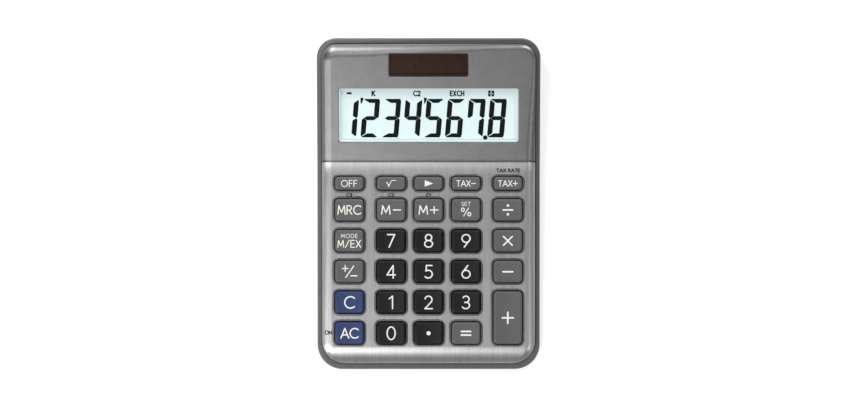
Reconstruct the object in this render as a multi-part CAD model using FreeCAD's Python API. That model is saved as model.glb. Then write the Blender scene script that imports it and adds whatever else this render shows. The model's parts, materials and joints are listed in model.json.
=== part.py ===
import FreeCAD, Part
import math
import os

from FreeCAD import Vector

# Desk calculator with a raised display. Millimetres, +Z up, +Y to the back, feet on Z = 0.

# overall
WIDTH = 102.0
LENGTH = 151.0
HEIGHT = 28.9
FOOT_HEIGHT = 1.0

# the two slopes of the top, seen from the side
KEYPAD_TILT = 3.5
DISPLAY_TILT = 13.3
LIP_Y = -65.0
LIP_RADIUS = 12.0
SPLIT_Y = 19.6
BLEND_RADIUS = 36.0

# front case outline inside the rear case rim
FRONT_X = 48.65
FRONT_Y0 = -72.8
FRONT_Y1 = 72.6
FRONT_CORNER = 10.4
BACK_CORNER = 7.0
EDGE_RADIUS = 5.7
BACK_EDGE_RADIUS = 2.9
INNER_EDGE_RADIUS = 0.5
EDGE_SWEEP = 50.0
WALL = 2.0

# rear case
REAR_FRONT_CORNER = 11.5
REAR_BACK_CORNER = 8.8
RIM_DROP = 6.0
RIM_GAP = 0.45
LEDGE_DEPTH = 0.9
FLOOR = 1.8
REAR_WALL = 3.5

# keypad panel
PANEL = 0.5
PANEL_SEAT = 0.55
SPLIT_GROOVE = 0.9

# keys, measured in the keypad plane
COLUMNS = [-36.2, -17.1, 0.0, 17.1, 36.2]
ROWS = [9.58, -2.49, -16.6, -30.7, -44.7, -58.8]
WELL_W = 13.8
WELL_H = 10.8
SHORT_WELL_H = 6.8
COLLAR = 0.62
COLLAR_RISE = 0.35
COLLAR_EDGE = 0.24
WELL_CORNER = 2.2
KEY_GAP = 0.4
KEY_RISE = 2.5
KEY_DISH_RADIUS = 62.0
KEY_EDGE = 0.85
FLANGE = 0.6
FLANGE_TOP = -2.15
FLANGE_T = 0.9
PLUNGER_W = -4.2
PLUNGER_R = 1.6
KEY_NAMES = [
    ["off", "root", "correct", "tax_minus", "tax_plus"],
    ["mrc", "m_minus", "m_plus", "percent", "divide"],
    ["mode", "7", "8", "9", "multiply"],
    ["sign", "4", "5", "6", "minus"],
    ["c", "1", "2", "3", "plus"],
    ["ac", "0", "point", "equals", None],
]

# under the keys, measured down from the keypad plane
DOME_TOP = -4.25
DOME_BASE_R = 3.1
DOME_TOP_R = 2.1
DOME_WALL = 0.45
SHEET_TOP = -5.65
BOARD_TOP = -6.2
BOARD_T = 1.2

# windows, measured in the display plane
LCD_W = 82.0
LCD_H = 25.2
LCD_V = 21.2
SOLAR_W = 36.3
SOLAR_H = 10.75
SOLAR_V = 44.55
WINDOW_T = 1.0
WINDOW_SINK = 0.12
WINDOW_STEP = 0.5


def point(y, z):
    return Vector(0, y, z)


def segment(a, b):
    return Part.LineSegment(a, b).toShape()


def rad(angle):
    return math.radians(angle)


# how far each rounded edge would run on past the upright wall that cuts it off
side_spill = EDGE_RADIUS * (1 - math.sin(rad(EDGE_SWEEP)))
back_spill = BACK_EDGE_RADIUS * (1 - math.sin(rad(EDGE_SWEEP)))
front_spill = 2.0

# heights of the top, worked back from the overall height
run = BLEND_RADIUS * (math.sin(rad(DISPLAY_TILT)) - math.sin(rad(KEYPAD_TILT)))
blend_rise = BLEND_RADIUS * (math.cos(rad(KEYPAD_TILT)) - math.cos(rad(DISPLAY_TILT)))
flat_rise = (SPLIT_Y - run - LIP_Y) * math.tan(rad(KEYPAD_TILT))
crest_y = FRONT_Y1 + back_spill - BACK_EDGE_RADIUS
display_rise = (crest_y - SPLIT_Y) * math.tan(rad(DISPLAY_TILT))
edge_loss = BACK_EDGE_RADIUS * (1 / math.cos(rad(DISPLAY_TILT)) - 1)
LIP_Z = HEIGHT + edge_loss - display_rise - blend_rise - flat_rise
SPLIT_Z = LIP_Z + flat_rise + blend_rise


def outline(half_x, y0, y1, front_r, back_r, z):
    """Rounded rectangle wire with its own radius at the front and back corners."""
    x = half_x
    edges = [segment(Vector(-x + front_r, y0, z), Vector(x - front_r, y0, z))]
    corners = [
        (x - front_r, y0 + front_r, front_r, 270),
        (x - back_r, y1 - back_r, back_r, 0),
        (-x + back_r, y1 - back_r, back_r, 90),
        (-x + front_r, y0 + front_r, front_r, 180),
    ]
    arcs = []
    for cx, cy, r, start in corners:
        circle = Part.Circle(Vector(cx, cy, z), Vector(0, 0, 1), r)
        arcs.append(Part.Arc(circle, rad(start), rad(start + 90)).toShape())
    edges.append(arcs[0])
    edges.append(segment(Vector(x, y0 + front_r, z), Vector(x, y1 - back_r, z)))
    edges.append(arcs[1])
    edges.append(segment(Vector(x - back_r, y1, z), Vector(-x + back_r, y1, z)))
    edges.append(arcs[2])
    edges.append(segment(Vector(-x, y1 - back_r, z), Vector(-x, y0 + front_r, z)))
    edges.append(arcs[3])
    return Part.Wire(edges)


def rounded_block(w, h, r, z0, z1, cx=0.0, cy=0.0):
    """Block with rounded upright edges, centred on cx, cy."""
    wire = outline(w / 2, -h / 2, h / 2, r, r, z0)
    block = Part.Face(wire).extrude(Vector(0, 0, z1 - z0))
    block.translate(Vector(cx, cy, 0))
    return block


def box(x0, x1, y0, y1, z0, z1):
    return Part.makeBox(x1 - x0, y1 - y0, z1 - z0, Vector(x0, y0, z0))


def cylinder(r, z0, z1, cx=0.0, cy=0.0):
    return Part.makeCylinder(r, z1 - z0, Vector(cx, cy, z0))


def extrude_side(wire):
    """Solid across the whole width from a closed side view."""
    solid = Part.Face(wire).extrude(Vector(140, 0, 0))
    solid.translate(Vector(-70, 0, 0))
    return solid


def under_top(depth):
    """Everything under the top's side view, moved in by depth."""
    k = rad(KEYPAD_TILT)
    d = rad(DISPLAY_TILT)
    lip_c = point(LIP_Y + LIP_RADIUS * math.sin(k), LIP_Z - LIP_RADIUS * math.cos(k))
    r = LIP_RADIUS - depth

    def on_lip(angle):
        return lip_c + point(-r * math.sin(angle), r * math.cos(angle))

    blend_y = SPLIT_Y - run
    blend_z = LIP_Z + flat_rise
    blend_c = point(blend_y - BLEND_RADIUS * math.sin(k), blend_z + BLEND_RADIUS * math.cos(k))
    q = BLEND_RADIUS + depth

    def on_blend(angle):
        return blend_c + point(q * math.sin(angle), -q * math.cos(angle))

    far = on_blend(d) + point(70 * math.cos(d), 70 * math.sin(d))
    low = rad(88)
    edges = [
        segment(point(on_lip(low).y, -10), on_lip(low)),
        Part.Arc(on_lip(low), on_lip((low + k) / 2), on_lip(k)).toShape(),
        segment(on_lip(k), on_blend(k)),
        Part.Arc(on_blend(k), on_blend((k + d) / 2), on_blend(d)).toShape(),
        segment(on_blend(d), far),
        segment(far, point(far.y, -10)),
        segment(point(far.y, -10), point(on_lip(low).y, -10)),
    ]
    return extrude_side(Part.Wire(edges))


def under_line(drop):
    """Everything under two straight slopes that run drop below the top, with no lip."""
    k = math.tan(rad(KEYPAD_TILT))
    d = math.tan(rad(DISPLAY_TILT))
    knee_y = SPLIT_Y - run / 2
    knee_z = LIP_Z + (knee_y - LIP_Y) * k - drop
    left = point(-90, knee_z - (knee_y + 90) * k)
    right = point(90, knee_z + (90 - knee_y) * d)
    points = [point(-90, -10), left, point(knee_y, knee_z), right, point(90, -10)]
    return extrude_side(Part.makePolygon(points + points[:1]))


def faces_at(solid, edge):
    return [f for f in solid.Faces if any(edge.isSame(e) for e in f.Edges)]


def is_upright(face):
    u0, u1, v0, v1 = face.ParameterRange
    return abs(face.normalAt((u0 + u1) / 2, (v0 + v1) / 2).z) < 1e-6


def front_block(inset, side, front, back):
    """Upright block on the front case's outline moved in by inset and out by side, front and back."""
    wire = outline(
        FRONT_X - inset + side,
        FRONT_Y0 + inset - front,
        FRONT_Y1 - inset + back,
        FRONT_CORNER - inset + side,
        BACK_CORNER - inset + back,
        -5,
    )
    return Part.Face(wire).extrude(Vector(0, 0, 60))


def bevelled(inset):
    """The front case's body moved in by inset, with edges that turn down part of the way."""
    wide = crown(inset, EDGE_RADIUS, BACK_EDGE_RADIUS, side_spill, front_spill, back_spill)
    return wide.common(front_block(inset, 0, 0, 0)).Solids[0]


def crown(inset, side_r, back_r, side=0.0, front=0.0, back=0.0):
    """Body under the top, moved in by inset, with outer edge radii side_r and back_r."""
    side_r = side_r - inset
    back_r = back_r - inset
    block = front_block(inset, side, front, back)
    solid = block.common(under_top(inset)).removeSplitter().Solids[0]
    radii = []
    for number, edge in enumerate(solid.Edges, start=1):
        touching = faces_at(solid, edge)
        upright = [is_upright(f) for f in touching]
        if len(touching) != 2 or upright.count(True) != 1 or edge.BoundBox.ZMax < 0:
            continue
        if edge.BoundBox.YMin > FRONT_Y1 - inset + back - 0.5:
            radii.append((number, back_r, back_r))
        elif edge.BoundBox.YMin > 55:
            first = edge.valueAt(edge.FirstParameter).y
            last = edge.valueAt(edge.LastParameter).y
            if first > last:
                radii.append((number, back_r, side_r))
            else:
                radii.append((number, side_r, back_r))
        else:
            radii.append((number, side_r, side_r))
    doc = FreeCAD.newDocument("crown")
    base = doc.addObject("Part::Feature", "base")
    base.Shape = solid
    fillet = doc.addObject("Part::Fillet", "fillet")
    fillet.Base = base
    fillet.Edges = radii
    doc.recompute()
    result = fillet.Shape.copy()
    FreeCAD.closeDocument("crown")
    return result.Solids[0]


def on_keypad(shape):
    """Move a shape from the keypad plane's own frame to the calculator's frame."""
    moved = shape.copy()
    place = FreeCAD.Placement(
        Vector(0, LIP_Y, LIP_Z), FreeCAD.Rotation(Vector(1, 0, 0), KEYPAD_TILT)
    )
    moved.Placement = place.multiply(moved.Placement)
    return moved


def on_display(shape):
    """Move a shape from the display plane's own frame to the calculator's frame."""
    moved = shape.copy()
    place = FreeCAD.Placement(
        Vector(0, SPLIT_Y, SPLIT_Z), FreeCAD.Rotation(Vector(1, 0, 0), DISPLAY_TILT)
    )
    moved.Placement = place.multiply(moved.Placement)
    return moved


def keypad_v(y):
    return (y - LIP_Y) / math.cos(rad(KEYPAD_TILT))


def save(name, shape):
    shape.exportStep("parts/" + name + ".step")


def cut_all(base, tools):
    return base.cut(Part.makeCompound(tools))


def screw(head_r, head_t, shaft_r, length, slot):
    """Pan head screw pointing up, its head's underside on Z = 0."""
    body = cylinder(head_r, -head_t, 0).fuse(cylinder(shaft_r, 0, length))
    cross = [
        box(-slot, slot, -0.16, 0.16, -head_t - 0.1, -head_t * 0.45),
        box(-0.16, 0.16, -slot, slot, -head_t - 0.1, -head_t * 0.45),
    ]
    return cut_all(body.removeSplitter(), cross)


# list of keys: name, x, v in the keypad plane, well height
keys = []
for row, names in enumerate(KEY_NAMES):
    for column, label in enumerate(names):
        if label is None:
            continue
        v = keypad_v(ROWS[row])
        height = WELL_H
        if row == 0:
            height = SHORT_WELL_H
        if label == "plus":
            v = (keypad_v(ROWS[4]) + keypad_v(ROWS[5])) / 2
            height = WELL_H + keypad_v(ROWS[4]) - keypad_v(ROWS[5])
        keys.append((label, COLUMNS[column], v, height))

os.makedirs("parts", exist_ok=True)

# ---- shells ----
skin = bevelled(0.0)
under_panel = bevelled(PANEL_SEAT)
panel_inner = bevelled(PANEL)
cavity = crown(WALL, WALL + INNER_EDGE_RADIUS, WALL + INNER_EDGE_RADIUS)

rim_plane = under_line(RIM_DROP)
ledge_plane = under_line(RIM_DROP + LEDGE_DEPTH)
seat_plane = under_line(RIM_DROP - 0.3)
panel_low = under_line(RIM_DROP - 0.45)

behind_split = box(-70, 70, SPLIT_Y + 0.4, 90, -10, 60)
before_split = box(-70, 70, -90, SPLIT_Y + 0.4 - SPLIT_GROOVE, -10, 60)

# display housing, its front edge rounded over the groove
housing = skin.common(behind_split)
window_seats = []
for w, h, v in ((LCD_W, LCD_H, LCD_V), (SOLAR_W, SOLAR_H, SOLAR_V)):
    window_seats.append(on_display(rounded_block(w, h, 1.0, -WINDOW_T - WINDOW_SINK, 3, 0, v)))
housing = cut_all(housing, window_seats)
edge_list = []
for edge in housing.Edges:
    bb = edge.BoundBox
    if bb.YMax < SPLIT_Y + 0.41 and bb.ZMax > 9 and bb.XLength > 0.5:
        edge_list.append(edge)
housing = housing.makeFillet(0.35, edge_list)
window_edges = []
for edge in housing.Edges:
    middle = edge.valueAt((edge.FirstParameter + edge.LastParameter) / 2)
    over = (middle.z - SPLIT_Z) - (middle.y - SPLIT_Y) * math.tan(rad(DISPLAY_TILT))
    inside = abs(middle.x) < LCD_W / 2 + 0.1 and SPLIT_Y + 3 < middle.y < FRONT_Y1 - 3.5
    if inside and abs(over) < 0.01:
        window_edges.append(edge)
housing = housing.makeFillet(0.16, window_edges)

skirt = skin.common(seat_plane)
front = housing.fuse([under_panel, skirt]).removeSplitter()
front = front.cut(cavity)
front = front.cut(ledge_plane)

groove = box(-70, 70, SPLIT_Y + 0.4 - SPLIT_GROOVE, SPLIT_Y + 0.4, -10, 60)
groove = groove.cut(bevelled(PANEL_SEAT + 0.35)).cut(under_line(RIM_DROP - 0.3))
front = front.cut(groove)

collars = []
wells = []
for label, x, v, height in keys:
    ring_w = WELL_W + 2 * COLLAR
    ring_h = height + 2 * COLLAR
    ring_r = WELL_CORNER + COLLAR
    well = rounded_block(WELL_W, height, WELL_CORNER, -6, 4, x, v)
    collar = rounded_block(ring_w, ring_h, ring_r, -1.0, COLLAR_RISE, x, v).cut(well)
    crest = [e for e in collar.Edges if e.BoundBox.ZMin > COLLAR_RISE - 0.01]
    collars.append(collar.makeFillet(COLLAR_EDGE, crest))
    wells.append(rounded_block(WELL_W, height, WELL_CORNER, -6, -0.5, x, v))
front = front.fuse([on_keypad(c) for c in collars]).removeSplitter()

# bosses for the circuit board's screws hang between the outer key columns
BOARD_SCREW_X = 26.65
board_screw_v = [keypad_v(3.6), keypad_v(-23.65), keypad_v(-51.75)]
bosses = []
boss_holes = []
for x in (-BOARD_SCREW_X, BOARD_SCREW_X):
    for v in board_screw_v:
        bosses.append(on_keypad(cylinder(1.7, BOARD_TOP, -1.2, x, v)))
        boss_holes.append(on_keypad(cylinder(0.75, BOARD_TOP - 1, -2.6, x, v)))

# posts that the case screws reach, hanging from the front case
CASE_SCREWS = [(-37.0, -68.6, 3.4), (37.0, -68.6, 3.4), (-43.6, 16.8, 6.0), (43.6, 16.8, 6.0)]
CASE_SCREWS += [(-42.0, 65.5, 12.0), (42.0, 65.5, 12.0)]
case_posts = []
for x, y, z in CASE_SCREWS:
    case_posts.append(cylinder(2.2, z + 0.05, 40, x, y).common(under_panel))
    boss_holes.append(cylinder(0.85, z - 1, z + 3.6 + z * 0.35, x, y))
front = front.fuse(bosses + case_posts).removeSplitter()

# windows: a seat for each plate and a smaller opening through the wall
openings = []
for w, h, v in ((LCD_W, LCD_H, LCD_V), (SOLAR_W, SOLAR_H, SOLAR_V)):
    seat = rounded_block(w, h, 1.0, -WINDOW_T - WINDOW_SINK, -0.3, 0, v)
    through = rounded_block(w - 2 * WINDOW_STEP, h - 2 * WINDOW_STEP, 0.6, -5, 3, 0, v)
    openings.append(on_display(seat))
    openings.append(on_display(through))
front = cut_all(front, [on_keypad(w) for w in wells] + openings + boss_holes)
print("front_case", front.isValid(), len(front.Solids), len(front.Faces))
front = front.Solids[0]
save("front_case", front)

# aluminium sheet over the deck
panel = skin.cut(panel_inner).common(before_split).cut(panel_low)
holes = []
for label, x, v, height in keys:
    ring_w = WELL_W + 2 * COLLAR + 0.2
    ring_h = height + 2 * COLLAR + 0.2
    ring_r = WELL_CORNER + COLLAR + 0.1
    holes.append(on_keypad(rounded_block(ring_w, ring_h, ring_r, -3, 3, x, v)))
panel = cut_all(panel, holes).Solids[0]
hole_edges = []
for edge in panel.Edges:
    middle = edge.valueAt((edge.FirstParameter + edge.LastParameter) / 2)
    over = (middle.z - LIP_Z) - (middle.y - LIP_Y) * math.tan(rad(KEYPAD_TILT))
    if abs(middle.x) < 44.0 and LIP_Y < middle.y < 13.8 and abs(over) < 0.01:
        hole_edges.append(edge)
panel = panel.makeFillet(0.18, hole_edges)
print("keypad_panel", panel.isValid(), len(panel.Solids), len(panel.Faces))
save("keypad_panel", panel.Solids[0])

# ---- rear case ----
tub_wire = outline(WIDTH / 2, -LENGTH / 2, LENGTH / 2, REAR_FRONT_CORNER, REAR_BACK_CORNER, FOOT_HEIGHT)
tub = Part.Face(tub_wire).extrude(Vector(0, 0, 50))
tub = tub.common(rim_plane).removeSplitter().Solids[0]
bottom_edges = []
rim_edges = []
for edge in tub.Edges:
    bb = edge.BoundBox
    if bb.ZMax < FOOT_HEIGHT + 0.01:
        bottom_edges.append(edge)
    elif bb.ZMin > FOOT_HEIGHT + 1.0:
        touching = faces_at(tub, edge)
        if [is_upright(f) for f in touching].count(True) == 1:
            rim_edges.append(edge)
tub = tub.makeFillet(1.5, bottom_edges)
rim_edges = []
for edge in tub.Edges:
    touching = faces_at(tub, edge)
    if edge.BoundBox.ZMin < FOOT_HEIGHT + 2.0 or len(touching) != 2:
        continue
    if [is_upright(f) for f in touching].count(True) == 1:
        rim_edges.append(edge)
try:
    tub = tub.makeFillet(0.7, rim_edges)
except Exception:
    print("rim edge left sharp")
recess_wire = outline(
    FRONT_X + RIM_GAP,
    FRONT_Y0 - RIM_GAP,
    FRONT_Y1 + RIM_GAP,
    FRONT_CORNER + RIM_GAP,
    BACK_CORNER + RIM_GAP,
    -5,
)
recess = Part.Face(recess_wire).extrude(Vector(0, 0, 60)).cut(ledge_plane)
inner_wire = outline(
    WIDTH / 2 - REAR_WALL,
    -LENGTH / 2 + REAR_WALL,
    LENGTH / 2 - REAR_WALL,
    REAR_FRONT_CORNER - REAR_WALL,
    REAR_BACK_CORNER - REAR_WALL,
    FOOT_HEIGHT + FLOOR,
)
inner = Part.Face(inner_wire).extrude(Vector(0, 0, 60))
tub = tub.cut(recess).cut(inner)

# screw towers, battery bay and foot seats
towers = []
tower_holes = []
for x, y, z in CASE_SCREWS:
    towers.append(cylinder(3.2, FOOT_HEIGHT + 0.5, z, x, y))
    tower_holes.append(cylinder(1.15, 0, z + 1, x, y))
    tower_holes.append(cylinder(2.3, 0, z - 1.3, x, y))
BATTERY_X = 24.0
BATTERY_Y = 44.0
BATTERY_R = 5.8
BATTERY_T = 3.05
BATTERY_Z = 2.75
bay = cylinder(BATTERY_R + 1.7, FOOT_HEIGHT + 0.3, 6.6, BATTERY_X, BATTERY_Y)
bay_hole = cylinder(BATTERY_R + 0.3, 2.4, 8, BATTERY_X, BATTERY_Y)
tower_holes.append(bay_hole)
COVER_W = 20.0
COVER_H = 17.0
COVER_SCREW = (BATTERY_X, BATTERY_Y - 11.4)
cover_seat = rounded_block(COVER_W + 0.3, COVER_H + 7.3, 2.1, 0, 2.4, BATTERY_X, BATTERY_Y - 3.5)
cover_pad = rounded_block(COVER_W + 4, COVER_H + 11, 3, FOOT_HEIGHT + 0.2, 3.6, BATTERY_X, BATTERY_Y - 3.5)
tower_holes.append(cover_seat)
cover_nut = cylinder(2.6, 2.0, 6.4, COVER_SCREW[0], COVER_SCREW[1])
tower_holes.append(cylinder(0.85, 2, 5.6, COVER_SCREW[0], COVER_SCREW[1]))
contact_slots = [
    box(BATTERY_X - 2.2, BATTERY_X + 2.2, BATTERY_Y + 5, BATTERY_Y + 9, 5.6, 8),
    box(BATTERY_X + 5, BATTERY_X + 9, BATTERY_Y - 2.2, BATTERY_Y + 2.2, 3.6, 8),
]
FRONT_FEET = [(-38.0, -58.0), (38.0, -58.0)]
REAR_FEET = [(-40.0, 58.0), (40.0, 58.0)]
FOOT_R = 4.5
FOOT_SEAT = 0.7
for x, y in FRONT_FEET + REAR_FEET:
    tower_holes.append(cylinder(FOOT_R + 0.1, 0, FOOT_HEIGHT + FOOT_SEAT, x, y))
tub = tub.fuse(towers + [cover_pad, bay, cover_nut]).removeSplitter()
tub = cut_all(tub, tower_holes)
tub = cut_all(tub, contact_slots)
print("rear_case", tub.isValid(), len(tub.Solids), len(tub.Faces))
save("rear_case", tub.Solids[0])

# ---- windows ----
lcd_window = rounded_block(LCD_W - 0.1, LCD_H - 0.1, 0.95, -WINDOW_T - WINDOW_SINK, -WINDOW_SINK, 0, LCD_V)
save("lcd_window", on_display(lcd_window))
solar_window = rounded_block(
    SOLAR_W - 0.1, SOLAR_H - 0.1, 0.95, -WINDOW_T - WINDOW_SINK, -WINDOW_SINK, 0, SOLAR_V
)
save("solar_window", on_display(solar_window))

# ---- keys ----
for label, x, v, height in keys:
    w = WELL_W - 2 * KEY_GAP
    h = height - 2 * KEY_GAP
    cap = rounded_block(w, h, WELL_CORNER - KEY_GAP, FLANGE_TOP - FLANGE_T, KEY_RISE + 1)
    dish = Part.makeCylinder(
        KEY_DISH_RADIUS, h + 4, Vector(0, -h / 2 - 2, 0), Vector(0, 1, 0)
    )
    sag = KEY_DISH_RADIUS - math.sqrt(KEY_DISH_RADIUS ** 2 - (w / 2) ** 2)
    dish.translate(Vector(0, 0, KEY_RISE - sag + KEY_DISH_RADIUS))
    cap = cap.cut(dish)
    rim = []
    for edge in cap.Edges:
        if edge.BoundBox.ZMin > KEY_RISE - sag - 0.01:
            rim.append(edge)
    cap = cap.makeFillet(KEY_EDGE, rim)
    flange = rounded_block(
        WELL_W + 2 * FLANGE, height + 2 * FLANGE, 1.2, FLANGE_TOP - FLANGE_T, FLANGE_TOP
    )
    body = cap.fuse(flange).removeSplitter()
    pocket = rounded_block(w - 2.4, h - 2.4, 0.5, FLANGE_TOP - FLANGE_T - 1, KEY_RISE - 1.6)
    body = body.cut(pocket)
    post = cylinder(PLUNGER_R, PLUNGER_W, KEY_RISE - 1.2)
    body = body.fuse(post).removeSplitter()
    body.translate(Vector(x, v, 0))
    if len(body.Solids) != 1 or not body.isValid():
        print("key", label, "has", len(body.Solids), "solids", body.isValid())
    save("key_" + label, on_keypad(body.Solids[0]))

# ---- keypad inside ----
board_v0 = keypad_v(-65.8)
board_v1 = keypad_v(13.8)
board = box(-44.5, 44.5, board_v0, board_v1, BOARD_TOP - BOARD_T, BOARD_TOP)
board_holes = []
sheet_holes = []
screws = []
for x in (-BOARD_SCREW_X, BOARD_SCREW_X):
    for v in board_screw_v:
        board_holes.append(cylinder(1.0, BOARD_TOP - 2, BOARD_TOP + 1, x, v))
        sheet_holes.append(cylinder(2.1, BOARD_TOP - 1, BOARD_TOP + 1, x, v))
        one = screw(1.5, 0.7, 0.7, 3.6, 0.9)
        one.translate(Vector(x, v, BOARD_TOP - BOARD_T - 0.02))
        screws.append(on_keypad(one))
board = cut_all(board, board_holes)
save("main_board", on_keypad(board))
save("board_screws", Part.makeCompound(screws))

sheet = box(-44.0, 44.0, board_v0 + 0.5, board_v1 - 0.5, BOARD_TOP + 0.04, SHEET_TOP)
sheet = cut_all(sheet, sheet_holes)
domes = []
hollows = []
pads = []
for label, x, v, height in keys:
    outer = Part.makeCone(DOME_BASE_R, DOME_TOP_R, DOME_TOP - SHEET_TOP + 0.1, Vector(x, v, SHEET_TOP - 0.1))
    hollow = Part.makeCone(
        DOME_BASE_R - DOME_WALL,
        DOME_TOP_R - DOME_WALL,
        DOME_TOP - 0.5 - BOARD_TOP + 0.2,
        Vector(x, v, BOARD_TOP - 0.2),
    )
    domes.append(outer)
    hollows.append(hollow)
    pads.append(on_keypad(cylinder(1.9, BOARD_TOP, BOARD_TOP + 0.03, x, v)))
sheet = cut_all(sheet.fuse(domes).removeSplitter(), hollows)
print("dome_sheet", sheet.isValid(), len(sheet.Solids))
save("dome_sheet", on_keypad(sheet.Solids[0]))
save("key_contacts", Part.makeCompound(pads))

# chip under resin and small components on the board's underside, where the tub is deep enough
low = BOARD_TOP - BOARD_T
chip_v = keypad_v(4.0)
chip = Part.makeSphere(14.0, Vector(6.0, chip_v, low + 14.0 - 1.5))
chip = chip.common(box(-4, 16, chip_v - 10, chip_v + 10, low - 3, low))
save("chip_resin", on_keypad(chip.Solids[0]))
smalls = []
CHIPS = [(-12, -2, 3.2, 1.6), (-12, 2, 3.2, 1.6), (-20, 0, 1.6, 3.2), (18, 1, 3.2, 1.6), (18, -5, 1.6, 3.2)]
for x, dv, w, h in CHIPS:
    smalls.append(on_keypad(box(x, x + w, chip_v + dv, chip_v + dv + h, low - 0.9, low)))
crystal = Part.makeCylinder(1.0, 6.0, Vector(30, chip_v, low - 1.0), Vector(1, 0, 0))
smalls.append(on_keypad(crystal))
save("board_components", Part.makeCompound(smalls))

# ---- display stack, measured down from the display plane ----
GASKET_T = 0.5
UNDER = -WALL
gasket_out = rounded_block(LCD_W + 2.0, LCD_H + 2.0, 0.8, UNDER - GASKET_T, UNDER - 0.02, 0, LCD_V)
lip_gap = WINDOW_STEP + 0.05
lip_in = lip_gap + 0.35
lip_top = -WINDOW_T - WINDOW_SINK - 0.03
gasket_lip = rounded_block(
    LCD_W - 2 * lip_gap, LCD_H - 2 * lip_gap, 0.5, UNDER - GASKET_T, lip_top, 0, LCD_V
)
gasket_in = rounded_block(LCD_W - 2 * lip_in, LCD_H - 2 * lip_in, 0.4, UNDER - 2, 0, 0, LCD_V)
gasket = gasket_out.fuse(gasket_lip).cut(gasket_in).removeSplitter()
print("lcd_gasket", gasket.isValid(), len(gasket.Solids))
save("lcd_gasket", on_display(gasket.Solids[0]))
z = UNDER - GASKET_T - 0.02
save("lcd_front_polarizer", on_display(rounded_block(85.0, 28.4, 0.2, z - 0.2, z, 0, LCD_V)))
z -= 0.22
save("lcd_front_glass", on_display(rounded_block(86.0, 29.6, 0.1, z - 0.7, z, 0, LCD_V)))
z -= 0.72
save("lcd_rear_glass", on_display(rounded_block(86.0, 32.0, 0.1, z - 0.7, z, 0, LCD_V - 1.2)))
REAR_GLASS_TOP = z
z -= 0.72
save("lcd_reflector", on_display(rounded_block(85.0, 28.4, 0.2, z - 0.25, z, 0, LCD_V)))
z -= 0.27
holder = rounded_block(88.6, 35.2, 1.5, z - 1.4, UNDER - 0.05, 0, LCD_V - 1.0)
holder_room = box(-43.2, 43.2, LCD_V - 17.4, LCD_V + 15.0, z, UNDER + 1)
holder_light = rounded_block(78.0, 22.0, 2.0, z - 3, z + 1, 0, LCD_V)
holder_slot = box(-28, 28, LCD_V - 21, LCD_V - 16.8, z - 3, UNDER + 1)
holder = cut_all(holder, [holder_room, holder_light, holder_slot])
print("lcd_holder", holder.isValid(), len(holder.Solids))
save("lcd_holder", on_display(holder.Solids[0]))

# ---- solar cell ----
solar = rounded_block(SOLAR_W + 0.6, SOLAR_H + 0.8, 0.2, UNDER - 1.1, UNDER - 0.05, 0, SOLAR_V)
save("solar_cell", on_display(solar))
LEAD_X = 15.0
LEAD_R = 0.45
retainer = rounded_block(SOLAR_W + 6, SOLAR_H + 2.4, 1.0, UNDER - 1.5, UNDER - 0.02, 0, SOLAR_V)
retainer_room = rounded_block(SOLAR_W + 1.0, SOLAR_H + 1.2, 0.3, UNDER - 1.15, UNDER + 1, 0, SOLAR_V)
lead_ways = [cylinder(0.9, -6, 0, x, SOLAR_V) for x in (-LEAD_X, LEAD_X)]
retainer = cut_all(retainer, [retainer_room] + lead_ways)
save("solar_retainer", on_display(retainer))




def to_body(u, v, w, tilt, origin):
    """A point given in a tilted plane's frame, in the calculator's frame."""
    c = math.cos(rad(tilt))
    s = math.sin(rad(tilt))
    return origin + Vector(u, v * c - w * s, v * s + w * c)


def display_point(u, v, w):
    return to_body(u, v, w, DISPLAY_TILT, Vector(0, SPLIT_Y, SPLIT_Z))


def keypad_point(u, v, w):
    return to_body(u, v, w, KEYPAD_TILT, Vector(0, LIP_Y, LIP_Z))


def wire_lead(points, radius):
    """Round lead that runs smoothly through the points."""
    curve = Part.BSplineCurve()
    curve.interpolate(points)
    path = Part.Wire(curve.toShape())
    start = curve.tangent(curve.FirstParameter)[0]
    ring = Part.Wire(Part.makeCircle(radius, points[0], start))
    return path.makePipeShell([ring], True, False)


# leads from the solar cell, under the display holder, to the board's underside
solder_w = BOARD_TOP - BOARD_T - LEAD_R - 0.03
solder_v = board_v1 - 2.0
solar_leads = []
for side in (-1, 1):
    x = side * LEAD_X
    far = side * 39.5
    solar_leads.append(
        wire_lead(
            [
                display_point(x, SOLAR_V, UNDER - 1.15),
                display_point(x, SOLAR_V, UNDER - 2.6),
                display_point(x + side * 8, SOLAR_V - 6, UNDER - 5.2),
                display_point(far, LCD_V, UNDER - 5.8),
                display_point(far, 4, UNDER - 6.5),
                keypad_point(far, board_v1 + 1.5, solder_w - 0.2),
                keypad_point(far, solder_v, solder_w),
            ],
            LEAD_R,
        )
    )
save("solar_leads", Part.makeCompound(solar_leads))

# flat flexible connector: rear glass ledge, over the holder's lip, to the board's underside
RIBBON_W = 50.0
RIBBON_T = 0.15
ribbon_path = [
    display_point(0, LCD_V - 15.2, REAR_GLASS_TOP + 0.11),
    display_point(0, LCD_V - 17.6, REAR_GLASS_TOP + 0.11),
    display_point(0, LCD_V - 19.2, REAR_GLASS_TOP - 1.2),
    display_point(0, LCD_V - 19.8, REAR_GLASS_TOP - 3.5),
    keypad_point(0, board_v1 + 2.2, BOARD_TOP - BOARD_T - 1.2),
    keypad_point(0, board_v1 + 0.3, BOARD_TOP - BOARD_T - 0.4),
    keypad_point(0, board_v1 - 1.2, BOARD_TOP - BOARD_T - 0.16),
    keypad_point(0, board_v1 - 3.0, BOARD_TOP - BOARD_T - 0.12),
]
ribbon_curve = Part.BSplineCurve()
ribbon_curve.interpolate(ribbon_path)
near_side = []
far_side = []
STEPS = 28
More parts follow.
